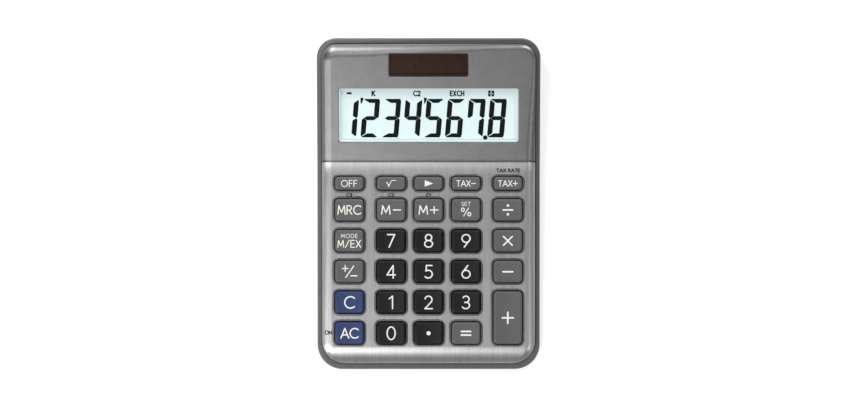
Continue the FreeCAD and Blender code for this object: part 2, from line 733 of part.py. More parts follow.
for i in range(STEPS + 1):
    t = ribbon_curve.FirstParameter + (ribbon_curve.LastParameter - ribbon_curve.FirstParameter) * i / STEPS
    here = ribbon_curve.value(t)
    along = ribbon_curve.tangent(t)[0]
    across = Vector(0, -along.z, along.y) * (RIBBON_T / 2)
    near_side.append(here + across)
    far_side.append(here - across)
upper = Part.BSplineCurve()
upper.interpolate(near_side)
lower = Part.BSplineCurve()
lower.interpolate(far_side)
ribbon_wire = Part.Wire(
    [
        upper.toShape(),
        segment(near_side[-1], far_side[-1]),
        lower.toShape(),
        segment(far_side[0], near_side[0]),
    ]
)
ribbon = Part.Face(ribbon_wire).extrude(Vector(RIBBON_W, 0, 0))
ribbon.translate(Vector(-RIBBON_W / 2, 0, 0))
print("lcd_ribbon", ribbon.isValid())
save("lcd_ribbon", ribbon)

# ---- battery ----
cell = cylinder(BATTERY_R, BATTERY_Z, BATTERY_Z + BATTERY_T - 0.25, BATTERY_X, BATTERY_Y)
cell = cell.fuse(cylinder(4.6, BATTERY_Z, BATTERY_Z + BATTERY_T, BATTERY_X, BATTERY_Y)).removeSplitter()
save("battery", cell)
top = BATTERY_Z + BATTERY_T + 0.05
bx = BATTERY_X
by = BATTERY_Y
strip = box(bx - 1.9, bx + 1.9, by - 2.5, by + 8.8, top, top + 0.25)
strip = strip.fuse(box(bx - 1.9, bx + 1.9, by + 8.55, by + 8.8, top, top + 3.0)).removeSplitter()
save("battery_contact_negative", strip)
leaf_x = bx + BATTERY_R + 0.05
leaf = box(leaf_x, leaf_x + 0.22, by - 1.8, by + 1.8, 3.65, 5.7)
leaf = leaf.fuse(box(leaf_x, leaf_x + 3.6, by - 1.8, by + 1.8, 5.5, 5.7))
leaf = leaf.fuse(box(leaf_x + 3.38, leaf_x + 3.6, by - 1.8, by + 1.8, 5.5, 8.2)).removeSplitter()
save("battery_contact_positive", leaf)
battery_leads = [
    wire_lead(
        [
            Vector(bx + 0.5, by + 9.3, top + 2.4),
            Vector(bx + 6.5, by + 8.2, top + 3.0),
            Vector(bx + 12.4, by + 3.0, top + 3.0),
            Vector(bx + 13.0, by - 8.0, top + 2.6),
            Vector(bx + 10.5, by - 20.0, top + 2.0),
            keypad_point(bx + 6.2, solder_v, solder_w),
        ],
        LEAD_R,
    ),
    wire_lead(
        [
            Vector(leaf_x + 4.1, by + 1.0, 7.6),
            Vector(leaf_x + 4.0, by - 5.0, 8.2),
            Vector(leaf_x + 1.6, by - 15.0, 8.0),
            keypad_point(bx + 4.2, board_v1 + 5.0, solder_w - 0.9),
            keypad_point(bx + 3.2, solder_v, solder_w),
        ],
        LEAD_R,
    ),
]
save("battery_leads", Part.makeCompound(battery_leads))

cover = rounded_block(COVER_W, COVER_H + 7, 2.0, FOOT_HEIGHT, 2.35, BATTERY_X, BATTERY_Y - 3.5)
cover_holes = [
    cylinder(1.1, 0, 3, COVER_SCREW[0], COVER_SCREW[1]),
    cylinder(2.2, 0, 1.84, COVER_SCREW[0], COVER_SCREW[1]),
]
for i in range(4):
    y = BATTERY_Y + 5.4 - 1.3 * i
    cover_holes.append(rounded_block(9.0 - 1.6 * i, 0.55, 0.25, 0, FOOT_HEIGHT + 0.35, BATTERY_X, y))
save("battery_cover", cut_all(cover, cover_holes))
cover_screw = screw(2.0, 0.75, 0.8, 3.4, 1.1)
cover_screw.translate(Vector(COVER_SCREW[0], COVER_SCREW[1], 1.82))
save("battery_cover_screw", cover_screw)

# ---- case screws and feet ----
case_screws = []
for x, y, z in CASE_SCREWS:
    one = screw(2.1, 1.05, 0.8, 4.6 + z * 0.2, 1.2)
    one.translate(Vector(x, y, z - 1.32))
    case_screws.append(one)
save("case_screws", Part.makeCompound(case_screws))
for name, places in (("front_feet", FRONT_FEET), ("rear_feet", REAR_FEET)):
    feet = []
    for x, y in places:
        foot = cylinder(FOOT_R, 0, FOOT_HEIGHT + FOOT_SEAT - 0.02, x, y)
        low_edges = [e for e in foot.Edges if e.BoundBox.ZMax < 0.01]
        feet.append(foot.makeChamfer(0.3, low_edges))
    save(name, Part.makeCompound(feet))

# ---- carbon pills in the domes ----
pills = []
for label, x, v, height in keys:
    pills.append(on_keypad(cylinder(1.3, DOME_TOP - 0.95, DOME_TOP - 0.53, x, v)))
save("carbon_pills", Part.makeCompound(pills))
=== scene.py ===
import json
import math

import bmesh
import bpy
from mathutils import Matrix, Vector
from mathutils.geometry import delaunay_2d_cdt


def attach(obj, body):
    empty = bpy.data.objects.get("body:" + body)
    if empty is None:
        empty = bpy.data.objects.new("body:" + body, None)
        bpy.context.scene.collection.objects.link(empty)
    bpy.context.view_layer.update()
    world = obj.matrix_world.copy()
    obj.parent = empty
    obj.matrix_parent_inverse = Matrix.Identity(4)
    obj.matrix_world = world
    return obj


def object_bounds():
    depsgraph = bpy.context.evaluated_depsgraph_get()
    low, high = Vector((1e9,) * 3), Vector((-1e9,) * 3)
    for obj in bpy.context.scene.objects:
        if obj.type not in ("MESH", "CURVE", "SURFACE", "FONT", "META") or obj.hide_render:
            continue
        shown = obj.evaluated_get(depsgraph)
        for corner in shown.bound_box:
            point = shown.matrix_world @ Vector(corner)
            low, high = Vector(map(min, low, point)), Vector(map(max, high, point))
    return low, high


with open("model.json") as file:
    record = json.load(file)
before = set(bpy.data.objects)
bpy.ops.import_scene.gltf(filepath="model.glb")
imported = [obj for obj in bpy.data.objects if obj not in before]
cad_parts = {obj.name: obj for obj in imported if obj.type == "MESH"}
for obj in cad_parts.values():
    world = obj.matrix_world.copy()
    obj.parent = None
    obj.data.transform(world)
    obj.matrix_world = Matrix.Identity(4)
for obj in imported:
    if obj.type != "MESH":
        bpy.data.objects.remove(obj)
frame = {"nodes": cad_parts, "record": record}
cad_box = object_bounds()
nodes = frame["nodes"]
scene = bpy.context.scene
MM = 0.001

# Lengths are millimetres down to the floor. The floor, the lights and the camera are in metres.

# ---------------------------------------------------------------- planes of the top
KEYPAD_TILT = math.radians(3.5)
DISPLAY_TILT = math.radians(13.3)
LIP_Y = -65.0
SPLIT_Y = 19.6
BLEND_RADIUS = 36.0
FRONT_X = 48.65
FRONT_Y1 = 72.6
EDGE_RADIUS = 5.7
BACK_EDGE_RADIUS = 2.9
EDGE_SWEEP = math.radians(50)

run = BLEND_RADIUS * (math.sin(DISPLAY_TILT) - math.sin(KEYPAD_TILT))
blend_rise = BLEND_RADIUS * (math.cos(KEYPAD_TILT) - math.cos(DISPLAY_TILT))
flat_rise = (SPLIT_Y - run - LIP_Y) * math.tan(KEYPAD_TILT)
crest_y = FRONT_Y1 - BACK_EDGE_RADIUS * math.sin(EDGE_SWEEP)
display_rise = (crest_y - SPLIT_Y) * math.tan(DISPLAY_TILT)
edge_loss = BACK_EDGE_RADIUS * (1 / math.cos(DISPLAY_TILT) - 1)
LIP_Z = cad_box[1].z / MM + edge_loss - display_rise - blend_rise - flat_rise
SPLIT_Z = LIP_Z + flat_rise + blend_rise
KEYPAD = Matrix.Translation(Vector((0, LIP_Y, LIP_Z))) @ Matrix.Rotation(KEYPAD_TILT, 4, "X")
DISPLAY = Matrix.Translation(Vector((0, SPLIT_Y, SPLIT_Z))) @ Matrix.Rotation(DISPLAY_TILT, 4, "X")

# ---------------------------------------------------------------- keys and windows
COLUMNS = [-36.2, -17.1, 0.0, 17.1, 36.2]
ROWS = [9.58, -2.49, -16.6, -30.7, -44.7, -58.8]
KEY_RISE = 2.5
KEY_W = 13.0
KEY_DISH_RADIUS = 62.0
KEY_NAMES = [
    ["off", "root", "correct", "tax_minus", "tax_plus"],
    ["mrc", "m_minus", "m_plus", "percent", "divide"],
    ["mode", "7", "8", "9", "multiply"],
    ["sign", "4", "5", "6", "minus"],
    ["c", "1", "2", "3", "plus"],
    ["ac", "0", "point", "equals", None],
]
LCD_V = 21.2
LCD_FILM_W = -2.52


def keypad_v(y):
    """Distance up the keypad plane of a place y in plan."""
    return (y - LIP_Y) / math.cos(KEYPAD_TILT)


# ---------------------------------------------------------------- material building blocks
def new_material(name):
    m = bpy.data.materials.new(name)
    m.use_nodes = True
    t = m.node_tree
    return m, t, t.nodes["Principled BSDF"]


def coords(t, scale=(1, 1, 1)):
    """Object coordinates in millimetres, stretched by scale."""
    source = t.nodes.new("ShaderNodeTexCoord")
    stretch = t.nodes.new("ShaderNodeMapping")
    stretch.inputs["Scale"].default_value = tuple(s * 1000 for s in scale)
    t.links.new(source.outputs["Object"], stretch.inputs["Vector"])
    return stretch.outputs["Vector"]


def noise(t, vector, scale, detail=2.0, rough=0.5):
    n = t.nodes.new("ShaderNodeTexNoise")
    n.inputs["Scale"].default_value = scale
    n.inputs["Detail"].default_value = detail
    n.inputs["Roughness"].default_value = rough
    t.links.new(vector, n.inputs["Vector"])
    return n.outputs["Fac"]


def blend(t, first, second, share):
    """share of first plus the rest of second."""
    part = t.nodes.new("ShaderNodeMath")
    part.operation = "MULTIPLY"
    part.inputs[1].default_value = 1 - share
    t.links.new(second, part.inputs[0])
    total = t.nodes.new("ShaderNodeMath")
    total.operation = "MULTIPLY_ADD"
    total.inputs[1].default_value = share
    t.links.new(first, total.inputs[0])
    t.links.new(part.outputs[0], total.inputs[2])
    return total.outputs[0]


def remap(t, value, low, high):
    """Stretch a noise's usual range to low..high."""
    r = t.nodes.new("ShaderNodeMapRange")
    r.inputs["From Min"].default_value = 0.3
    r.inputs["From Max"].default_value = 0.7
    r.inputs["To Min"].default_value = low
    r.inputs["To Max"].default_value = high
    t.links.new(value, r.inputs["Value"])
    return r.outputs["Result"]


def tint(t, value, color, spread):
    """Colour that goes from darker to lighter by spread with value."""
    r = t.nodes.new("ShaderNodeValToRGB")
    for element, at, factor in zip(r.color_ramp.elements, (0.3, 0.7), (1 - spread, 1 + spread)):
        element.position = at
        element.color = (*(min(1, c * factor) for c in color), 1)
    t.links.new(value, r.inputs["Fac"])
    return r.outputs["Color"]


def bump(t, height, strength, distance):
    b = t.nodes.new("ShaderNodeBump")
    b.inputs["Strength"].default_value = strength
    b.inputs["Distance"].default_value = distance * MM
    t.links.new(height, b.inputs["Height"])
    return b.outputs["Normal"]


def grained(name, color, spread, grain, roughness, metallic=0.0, relief=0.1, specular=0.5):
    """Moulded, painted or cast surface: fine grain in its colour, gloss and height."""
    m, t, p = new_material(name)
    at = coords(t)
    fine = noise(t, at, grain, 3.0, 0.6)
    broad = noise(t, at, grain * 0.06)
    t.links.new(tint(t, blend(t, fine, broad, 0.8), color, spread), p.inputs["Base Color"])
    t.links.new(remap(t, fine, roughness * 0.88, roughness * 1.12), p.inputs["Roughness"])
    p.inputs["Metallic"].default_value = metallic
    p.inputs["Specular IOR Level"].default_value = specular
    if relief:
        t.links.new(bump(t, fine, relief, 0.05), p.inputs["Normal"])
    return m


def brushed(name, color, roughness, anisotropy):
    """Metal brushed along Y: long fine streaks in its colour, gloss and height."""
    m, t, p = new_material(name)
    fine = noise(t, coords(t, (1.0, 0.02, 0.02)), 3.0, 3.0, 0.8)
    wide = noise(t, coords(t, (1.0, 0.03, 0.03)), 0.5)
    t.links.new(tint(t, blend(t, fine, wide, 0.75), color, 0.2), p.inputs["Base Color"])
    t.links.new(remap(t, fine, roughness - 0.04, roughness + 0.04), p.inputs["Roughness"])
    t.links.new(bump(t, fine, 0.12, 0.03), p.inputs["Normal"])
    p.inputs["Metallic"].default_value = 1.0
    p.inputs["Anisotropic"].default_value = anisotropy
    # the tangent is across the streaks, so highlights spread out that way
    across = t.nodes.new("ShaderNodeCombineXYZ")
    across.inputs["X"].default_value = 1.0
    t.links.new(across.outputs[0], p.inputs["Tangent"])
    return m


def clear_plate(name, see_through, gloss_rough):
    """Thin clear plastic: lets light straight through, with a Fresnel sheen on its outer side."""
    m, t, p = new_material(name)
    out = t.nodes["Material Output"]
    t.nodes.remove(p)
    clear = t.nodes.new("ShaderNodeBsdfTransparent")
    clear.inputs["Color"].default_value = (*see_through, 1)
    gloss = t.nodes.new("ShaderNodeBsdfGlossy")
    gloss.inputs["Roughness"].default_value = gloss_rough
    gloss.inputs["Color"].default_value = (0.5, 0.5, 0.5, 1)
    fresnel = t.nodes.new("ShaderNodeFresnel")
    fresnel.inputs["IOR"].default_value = 1.3
    side = t.nodes.new("ShaderNodeNewGeometry")
    outer = t.nodes.new("ShaderNodeMath")
    outer.operation = "SUBTRACT"
    outer.use_clamp = True
    t.links.new(fresnel.outputs[0], outer.inputs[0])
    t.links.new(side.outputs["Backfacing"], outer.inputs[1])
    mix = t.nodes.new("ShaderNodeMixShader")
    t.links.new(outer.outputs[0], mix.inputs[0])
    t.links.new(clear.outputs[0], mix.inputs[1])
    t.links.new(gloss.outputs[0], mix.inputs[2])
    t.links.new(mix.outputs[0], out.inputs["Surface"])
    return m


MATERIALS = {
    "aluminium": brushed("aluminium", (0.43, 0.43, 0.43), 0.37, 0.25),
    "clear_window": clear_plate("clear_window", (0.985, 0.995, 0.995), 0.05),
    "smoked_window": clear_plate("smoked_window", (0.86, 0.80, 0.76), 0.08),
}
# name: colour, colour spread, grains per millimetre, roughness, metallic, relief, specular level
GRAINED = {
    "rear_case": ((0.085, 0.085, 0.088), 0.05, 3.2, 0.45, 0.0, 0.25),
    "housing_paint": ((0.178, 0.178, 0.181), 0.24, 3.0, 0.38, 0.95, 0.10),
    "foam": ((0.66, 0.76, 0.755), 0.03, 6.0, 0.9, 0.0, 0.1, 0.1),
    "polarizer": ((0.625, 0.715, 0.715), 0.012, 2.0, 0.6, 0.0, 0.0, 0.1),
    "cell_glass": ((0.6, 0.72, 0.7), 0.02, 1.0, 0.08, 0.0, 0.0),
    "reflector": ((0.7, 0.8, 0.78), 0.02, 2.0, 0.35, 0.3, 0.0),
    "inner_plastic": ((0.7, 0.7, 0.68), 0.03, 3.0, 0.45, 0.0, 0.15),
    "flex_film": ((0.35, 0.19, 0.05), 0.1, 2.0, 0.3, 0.0, 0.05),
    "solar_cell": ((0.026, 0.009, 0.005), 0.04, 0.4, 0.3, 0.0, 0.0),
    "lead": ((0.4, 0.03, 0.02), 0.06, 2.0, 0.4, 0.0, 0.05),
    "board": ((0.10, 0.17, 0.07), 0.08, 1.2, 0.35, 0.0, 0.1),
    "steel": ((0.6, 0.6, 0.6), 0.06, 4.0, 0.28, 1.0, 0.1),
    "component": ((0.33, 0.26, 0.18), 0.1, 2.0, 0.5, 0.0, 0.1),
    "resin": ((0.015, 0.015, 0.015), 0.2, 0.8, 0.2, 0.0, 0.05),
    "carbon": ((0.02, 0.02, 0.02), 0.2, 4.0, 0.6, 0.0, 0.1),
    "silicone": ((0.62, 0.62, 0.6), 0.03, 2.0, 0.55, 0.0, 0.05),
    "spring_metal": ((0.68, 0.66, 0.58), 0.06, 4.0, 0.25, 1.0, 0.05),
    "foot_rubber": ((0.035, 0.035, 0.035), 0.15, 4.0, 0.75, 0.0, 0.35),
    "key_grey": ((0.077, 0.077, 0.077), 0.04, 6.0, 0.4, 0.0, 0.12, 0.35),
    "key_black": ((0.004, 0.004, 0.0043), 0.08, 6.0, 0.4, 0.0, 0.12, 0.25),
    "key_blue": ((0.018, 0.033, 0.105), 0.05, 6.0, 0.4, 0.0, 0.12, 0.28),
    "print_white": ((0.62, 0.61, 0.56), 0.02, 5.0, 0.5, 0.0, 0.05),
    "print_black": ((0.008, 0.008, 0.008), 0.1, 5.0, 0.5, 0.0, 0.05, 0.2),
    "lcd_ink": ((0.004, 0.005, 0.006), 0.08, 3.0, 0.6, 0.0, 0.0, 0.05),
}
for name, look in GRAINED.items():
    MATERIALS[name] = grained(name, *look)


# ---------------------------------------------------------------- smooth shading for the CAD nodes
def smooth_group(merge, angle):
    """Geometry nodes: weld, shade smooth, and keep edges over angle sharp."""
    g = bpy.data.node_groups.new("weld_and_smooth", "GeometryNodeTree")
    g.interface.new_socket("Geometry", in_out="INPUT", socket_type="NodeSocketGeometry")
    g.interface.new_socket("Geometry", in_out="OUTPUT", socket_type="NodeSocketGeometry")
    first = g.nodes.new("NodeGroupInput")
    last = g.nodes.new("NodeGroupOutput")
    weld = g.nodes.new("GeometryNodeMergeByDistance")
    weld.inputs["Distance"].default_value = merge
    faces = g.nodes.new("GeometryNodeSetShadeSmooth")
    faces.domain = "FACE"
    faces.inputs["Shade Smooth"].default_value = True
    edges = g.nodes.new("GeometryNodeSetShadeSmooth")
    edges.domain = "EDGE"
    measure = g.nodes.new("GeometryNodeInputMeshEdgeAngle")
    less = g.nodes.new("FunctionNodeCompare")
    less.data_type = "FLOAT"
    less.operation = "LESS_THAN"
    less.inputs["B"].default_value = angle
    g.links.new(first.outputs[0], weld.inputs["Geometry"])
    g.links.new(weld.outputs[0], faces.inputs["Geometry"])
    g.links.new(faces.outputs[0], edges.inputs["Geometry"])
    g.links.new(measure.outputs["Unsigned Angle"], less.inputs["A"])
    g.links.new(less.outputs[0], edges.inputs["Shade Smooth"])
    g.links.new(edges.outputs[0], last.inputs[0])
    return g


smoother = smooth_group(0.002 * MM, math.radians(32))
slot_of = {s["node"]: s["material_slot"] for s in frame["record"]["subparts"]}
for name, o in nodes.items():
    o.data.materials.clear()
    o.data.materials.append(MATERIALS[slot_of[name]])
    if "custom_normal" in o.data.attributes:
        o.data.attributes.remove(o.data.attributes["custom_normal"])
    o.modifiers.new("smooth", "NODES").node_group = smoother
    weighted = o.modifiers.new("weighted", "WEIGHTED_NORMAL")
    weighted.mode = "FACE_AREA"
    weighted.weight = 100
    weighted.keep_sharp = True


# ---------------------------------------------------------------- stroke lettering
def arc(cx, cy, rx, ry, start, end, steps=None):
    """Points along an ellipse from start to end degrees."""
    steps = steps or max(4, int(abs(end - start) / 10))
    points = []
    for i in range(steps + 1):
        a = math.radians(start + (end - start) * i / steps)
        points.append((cx + rx * math.cos(a), cy + ry * math.sin(a)))
    return points


# Each sign: its width, then its strokes as centre lines in a box one unit high.
TWO = arc(0.29, 0.71, 0.28, 0.29, 165, -38) + [(0.0, 0.0)]
THREE_LOW = [(0.2, 0.5)] + arc(0.28, 0.26, 0.3, 0.26, 84, -152)
FIVE_BOWL = [(0.08, 0.56)] + arc(0.26, 0.31, 0.32, 0.31, 112, -140)
D_BOWL = [(0.0, 1.0), (0.26, 1.0)] + arc(0.26, 0.5, 0.46, 0.5, 84, -84) + [(0.26, 0.0), (0.0, 0.0)]
R_BOWL = [(0.0, 1.0), (0.24, 1.0)] + arc(0.24, 0.74, 0.27, 0.26, 84, -84) + [(0.24, 0.48), (0.0, 0.48)]
M_MIDDLE = [(0.1, 1.0), (0.42, 0.18), (0.74, 1.0)]
S_TOP = arc(0.26, 0.76, 0.22, 0.24, 35, 180, 10)
S_LOW = arc(0.25, 0.25, 0.25, 0.25, 20, -150, 12)
SIGNS = {
    "0": (0.64, [arc(0.32, 0.5, 0.32, 0.5, 0, 360)]),
    "1": (0.3, [[(0.0, 0.79), (0.26, 1.0)], [(0.26, 1.0), (0.26, 0.0)]]),
    "2": (0.6, [TWO, [(0.0, 0.0), (0.6, 0.0)]]),
    "3": (0.6, [arc(0.29, 0.75, 0.25, 0.25, 150, -90) + [(0.2, 0.5)], THREE_LOW]),
    "4": (0.66, [[(0.66, 0.25), (0.0, 0.25)], [(0.0, 0.25), (0.49, 1.0)], [(0.49, 1.0), (0.49, 0.0)]]),
    "5": (0.58, [[(0.56, 1.0), (0.12, 1.0)], [(0.12, 1.0), (0.08, 0.56)], FIVE_BOWL]),
    "6": (0.64, [[(0.46, 1.0), (0.06, 0.47)], arc(0.32, 0.31, 0.32, 0.31, 0, 360)]),
    "7": (0.56, [[(0.0, 1.0), (0.56, 1.0)], [(0.56, 1.0), (0.12, 0.0)]]),
    "8": (0.62, [arc(0.31, 0.76, 0.25, 0.24, 0, 360), arc(0.31, 0.265, 0.31, 0.265, 0, 360)]),
    "9": (0.64, [[(0.18, 0.0), (0.58, 0.53)], arc(0.32, 0.69, 0.32, 0.31, 0, 360)]),
    "A": (0.8, [[(0.0, 0.0), (0.4, 1.0)], [(0.4, 1.0), (0.8, 0.0)], [(0.13, 0.33), (0.67, 0.33)]]),
    "C": (0.8, [arc(0.5, 0.5, 0.5, 0.5, 47, 313)]),
    "D": (0.72, [[(0.0, 0.0), (0.0, 1.0)], D_BOWL]),
    "E": (0.5, [[(0.5, 1.0), (0.0, 1.0), (0.0, 0.0), (0.5, 0.0)], [(0.0, 0.52), (0.45, 0.52)]]),
    "F": (0.48, [[(0.48, 1.0), (0.0, 1.0), (0.0, 0.0)], [(0.0, 0.52), (0.42, 0.52)]]),
    "H": (0.68, [[(0.0, 0.0), (0.0, 1.0)], [(0.68, 0.0), (0.68, 1.0)], [(0.0, 0.52), (0.68, 0.52)]]),
    "K": (0.6, [[(0.0, 0.0), (0.0, 1.0)], [(0.55, 1.0), (0.02, 0.45)], [(0.2, 0.62), (0.6, 0.0)]]),
    "M": (0.84, [[(0.0, 0.0), (0.1, 1.0)], M_MIDDLE, [(0.74, 1.0), (0.84, 0.0)]]),
    "N": (0.7, [[(0.0, 0.0), (0.0, 1.0)], [(0.0, 1.0), (0.7, 0.0)], [(0.7, 0.0), (0.7, 1.0)]]),
    "O": (0.94, [arc(0.47, 0.5, 0.47, 0.5, 0, 360)]),
    "R": (0.56, [[(0.0, 0.0), (0.0, 1.0)], R_BOWL, [(0.24, 0.48), (0.56, 0.0)]]),
    "S": (0.5, [S_TOP + [(0.1, 0.6), (0.4, 0.42)] + S_LOW]),
    "T": (0.62, [[(0.0, 1.0), (0.62, 1.0)], [(0.31, 1.0), (0.31, 0.0)]]),
    "X": (0.66, [[(0.0, 0.0), (0.64, 1.0)], [(0.02, 1.0), (0.66, 0.0)]]),
    "/": (0.5, [[(0.0, -0.02), (0.5, 1.02)]]),
    "-": (0.72, [[(0.0, 0.5), (0.72, 0.5)]]),
    "+": (0.78, [[(0.0, 0.5), (0.78, 0.5)], [(0.39, 0.11), (0.39, 0.89)]]),
    " ": (0.3, []),
}


def resample(points, step):
    """The same line with points no further apart than step."""
    out = [points[0]]
    for a, b in zip(points, points[1:]):
        n = max(1, math.ceil(math.dist(a, b) / step))
        for i in range(1, n + 1):
            out.append((a[0] + (b[0] - a[0]) * i / n, a[1] + (b[1] - a[1]) * i / n))
    return out


def cap(centre, normal, half):
    """Points of a round end, from normal round to the other side."""
    base = math.atan2(normal[1], normal[0])
    fan = []
    for i in range(1, 6):
        a = base - math.pi * i / 6
        fan.append((centre[0] + half * math.cos(a), centre[1] + half * math.sin(a)))
    return fan


def ribbon(points, width):
    """Polygons that cover a stroke of a given width, with round ends unless it is closed."""
    half = width / 2
    points = resample(points, max(0.35, width * 0.6))
    closed = math.dist(points[0], points[-1]) < 1e-6
    if closed:
        points = points[:-1]
    n = len(points)
    left, right, normals = [], [], []
    for i, p in enumerate(points):
        a = points[i - 1] if i > 0 or closed else p
        b = points[(i + 1) % n] if i < n - 1 or closed else p
        length = math.dist(a, b)
        nx, ny = -(b[1] - a[1]) / length, (b[0] - a[0]) / length
        normals.append((nx, ny))
        left.append((p[0] + nx * half, p[1] + ny * half))
        right.append((p[0] - nx * half, p[1] - ny * half))
    count = n if closed else n - 1
    pieces = []
    for i in range(count):
        j = (i + 1) % n
        pieces.append([right[i], right[j], left[j], left[i]])
    if not closed:
        back = (-normals[0][0], -normals[0][1])
        pieces.append([left[-1]] + cap(points[-1], normals[-1], half) + [right[-1]])
        pieces.append([right[0]] + cap(points[0], back, half) + [left[0]])
    return pieces


def words(text, height, stroke, cx, cy, gap=0.26, squeeze=1.0):
    """Stroke polygons of a line of text, centred on cx, cy."""
    inner = height - stroke
    widths = [SIGNS[c][0] * inner * squeeze for c in text]
    space = gap * inner
    x = cx - (sum(widths) + space * (len(text) - 1)) / 2
    polygons = []
    for c, w in zip(text, widths):
        for line in SIGNS[c][1]:
            placed = [(x + px * inner * squeeze, cy + (py - 0.5) * inner) for px, py in line]
            polygons += ribbon(placed, stroke)
        x += w + space
    return polygons


def bar(x0, y0, x1, y1, width):
    return ribbon([(x0, y0), (x1, y1)], width)


def dot(x, y, r):
    return [arc(x, y, r, r, 0, 345, 23)]


# ---------------------------------------------------------------- thin raised print
def printed(name, polygons, surface, material, body, thickness):
    """The polygons joined into one thin sheet that lies on surface(x, y) -> point, normal."""
    corners, faces = [], []
    for poly in polygons:
        ring = list(range(len(corners), len(corners) + len(poly)))
        corners += [Vector(p) for p in poly]
        area = sum(a[0] * b[1] - b[0] * a[1] for a, b in zip(poly, poly[1:] + poly[:1]))
        faces.append(ring if area > 0 else ring[::-1])
    cells = delaunay_2d_cdt(corners, [], faces, 1, 1e-4)
    triangles = [t for t, covered in zip(cells[2], cells[5]) if covered]
    bm = bmesh.new()
    low, high = [], []
    for p in cells[0]:
        at, normal = surface(p.x, p.y)
        low.append(bm.verts.new((at - normal * 0.02) * MM))
        high.append(bm.verts.new((at + normal * thickness) * MM))
    sides = set()
    for t in triangles:
        bm.faces.new([high[i] for i in t])
        bm.faces.new([low[i] for i in reversed(t)])
        sides.update(zip(t, t[1:] + t[:1]))
    for a, b in sorted(sides):
        if (b, a) not in sides:
            bm.faces.new([low[a], low[b], high[b], high[a]])
    bmesh.ops.delete(bm, geom=[v for v in bm.verts if not v.link_faces], context="VERTS")
    mesh = bpy.data.meshes.new(name)
    bm.to_mesh(mesh)
    bm.free()
    mesh.materials.append(MATERIALS[material])
    o = bpy.data.objects.new(name, mesh)
    scene.collection.objects.link(o)
    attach(o, body)


def key_surface(x0, v0):
    """The dished top of a key centred on x0, v0 in the keypad plane."""
    sag = KEY_DISH_RADIUS - math.sqrt(KEY_DISH_RADIUS**2 - (KEY_W / 2) ** 2)
    centre = KEY_RISE - sag + KEY_DISH_RADIUS

    def at(x, y):
        w = centre - math.sqrt(KEY_DISH_RADIUS**2 - x * x)
        normal = Vector((-x, 0, centre - w)).normalized()
        return KEYPAD @ Vector((x0 + x, v0 + y, w)), KEYPAD.to_3x3() @ normal

    return at


def panel_surface(x, v):
    """The panel's top: its flat, and the rounded edge at either side."""
    out = max(0.0, abs(x) - (FRONT_X - EDGE_RADIUS * math.sin(EDGE_SWEEP)))
    drop = EDGE_RADIUS - math.sqrt(EDGE_RADIUS**2 - out**2)
    normal = Vector((math.copysign(out, x), 0, EDGE_RADIUS - drop)).normalized()
    return KEYPAD @ Vector((x, v, -drop)), KEYPAD.to_3x3() @ normal


def turn_surface(x, v):
    """The panel where it turns up to the display."""
    y = LIP_Y + v * math.cos(KEYPAD_TILT)
    start = SPLIT_Y - run
    if y <= start:
        return panel_surface(x, v)
    tilt = math.asin(math.sin(KEYPAD_TILT) + (y - start) / BLEND_RADIUS)
    z = LIP_Z + flat_rise + BLEND_RADIUS * (math.cos(KEYPAD_TILT) - math.cos(tilt))
    return Vector((x, y, z)), Vector((0, -math.sin(tilt), math.cos(tilt)))


def film_surface(x, v):
    """The top film of the liquid crystal cell."""
    return DISPLAY @ Vector((x, v, LCD_FILM_W)), DISPLAY.to_3x3() @ Vector((0, 0, 1))


